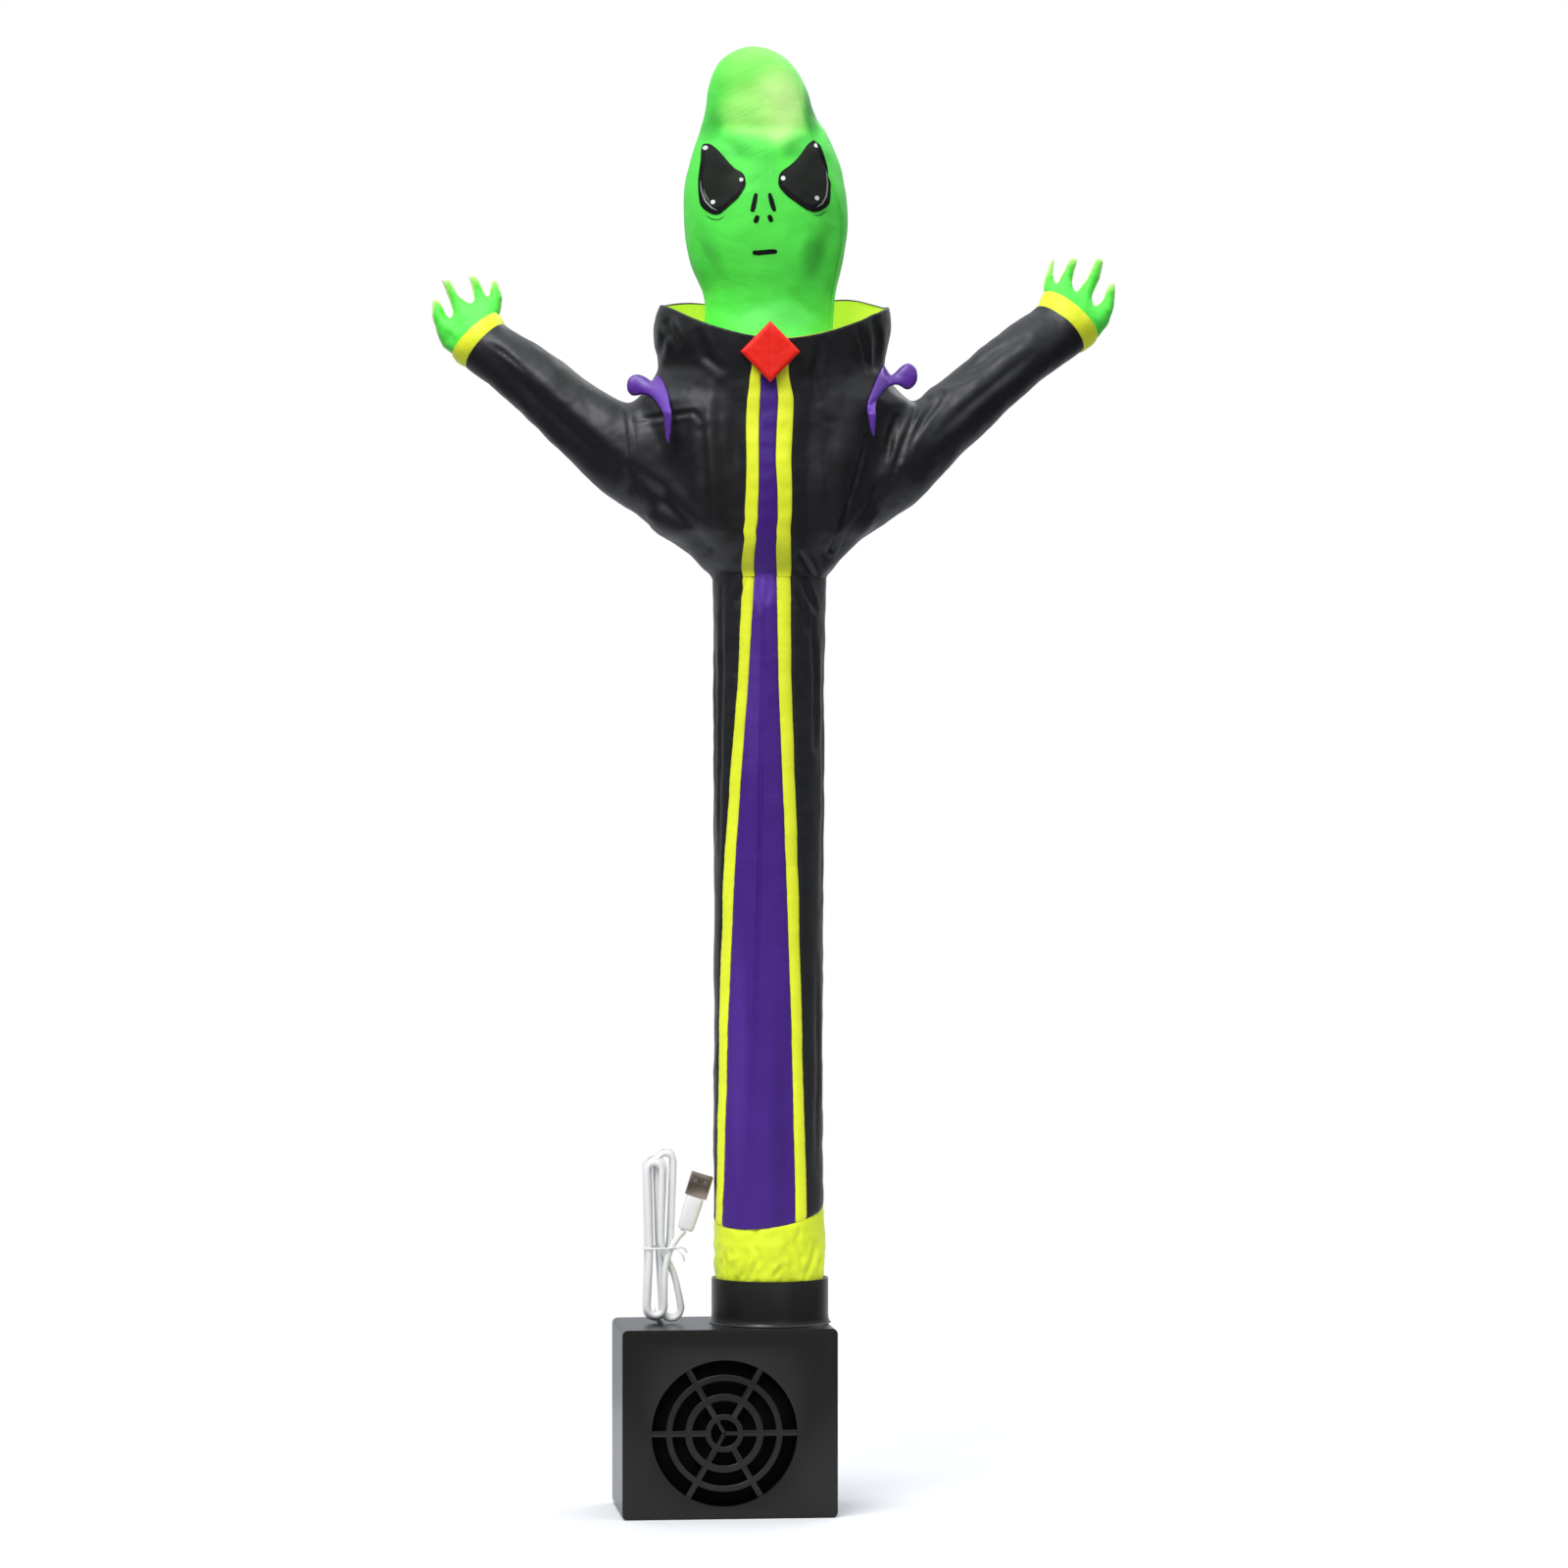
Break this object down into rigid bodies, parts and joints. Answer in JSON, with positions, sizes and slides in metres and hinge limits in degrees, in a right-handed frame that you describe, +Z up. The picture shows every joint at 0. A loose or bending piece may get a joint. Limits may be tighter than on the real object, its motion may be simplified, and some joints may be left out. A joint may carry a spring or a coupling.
{
  "type": "inflatable air dancer with blower",
  "caption": "Robed, long-headed inflatable dancer of thin cloth, arms raised, standing on a small box blower with a round grille and a tied power lead.",
  "frame": {"origin": "on the surface the blower stands on, under the middle of the tube", "axes": "+Z up the tube, -Y the figure's front, +X to the right seen from the front"},
  "size_m": [0.3765, 0.0973, 0.7948],
  "materials": {
    "green_cloth": "satin woven polyester",
    "black_cloth": "satin woven polyester",
    "purple_cloth": "satin woven polyester",
    "yellow_cloth": "satin woven polyester",
    "red_cloth": "satin woven polyester",
    "black_plastic": "satin moulded",
    "white_plastic": "smooth flexible",
    "plated_steel": "plated"
  },
  "bodies": {
    "root": {"head_front_left": "green_cloth", "head_front_right": "green_cloth", "head_back_left": "green_cloth", "head_back_right": "green_cloth", "hand_left": "green_cloth", "hand_right": "green_cloth", "robe_front_left": "black_cloth", "robe_front_right": "black_cloth", "robe_back_left": "black_cloth", "robe_back_right": "black_cloth", "placket_middle": "purple_cloth", "placket_stripe_left": "yellow_cloth", "placket_stripe_right": "yellow_cloth", "sleeve_left": "black_cloth", "sleeve_right": "black_cloth", "cuff_left": "yellow_cloth", "cuff_right": "yellow_cloth", "collar_front_left": "black_cloth", "collar_front_right": "black_cloth", "collar_back_left": "black_cloth", "collar_back_right": "black_cloth", "collar_lining": "yellow_cloth", "brooch": "red_cloth", "shoulder_piece_left": "purple_cloth", "shoulder_piece_right": "purple_cloth", "skirt_front": "purple_cloth", "skirt_stripe_left": "yellow_cloth", "skirt_stripe_right": "yellow_cloth", "skirt_back": "black_cloth", "hem_band": "yellow_cloth", "blower_housing": "black_plastic", "blower_front_cover": "black_plastic", "blower_nozzle": "black_plastic", "power_inlet": "black_plastic", "lead_plug": "white_plastic", "lead_run": "white_plastic", "lead_hank": "white_plastic", "lead_tie": "white_plastic", "usb_grip": "white_plastic", "usb_shell": "plated_steel"}
  },
  "joints": []
}
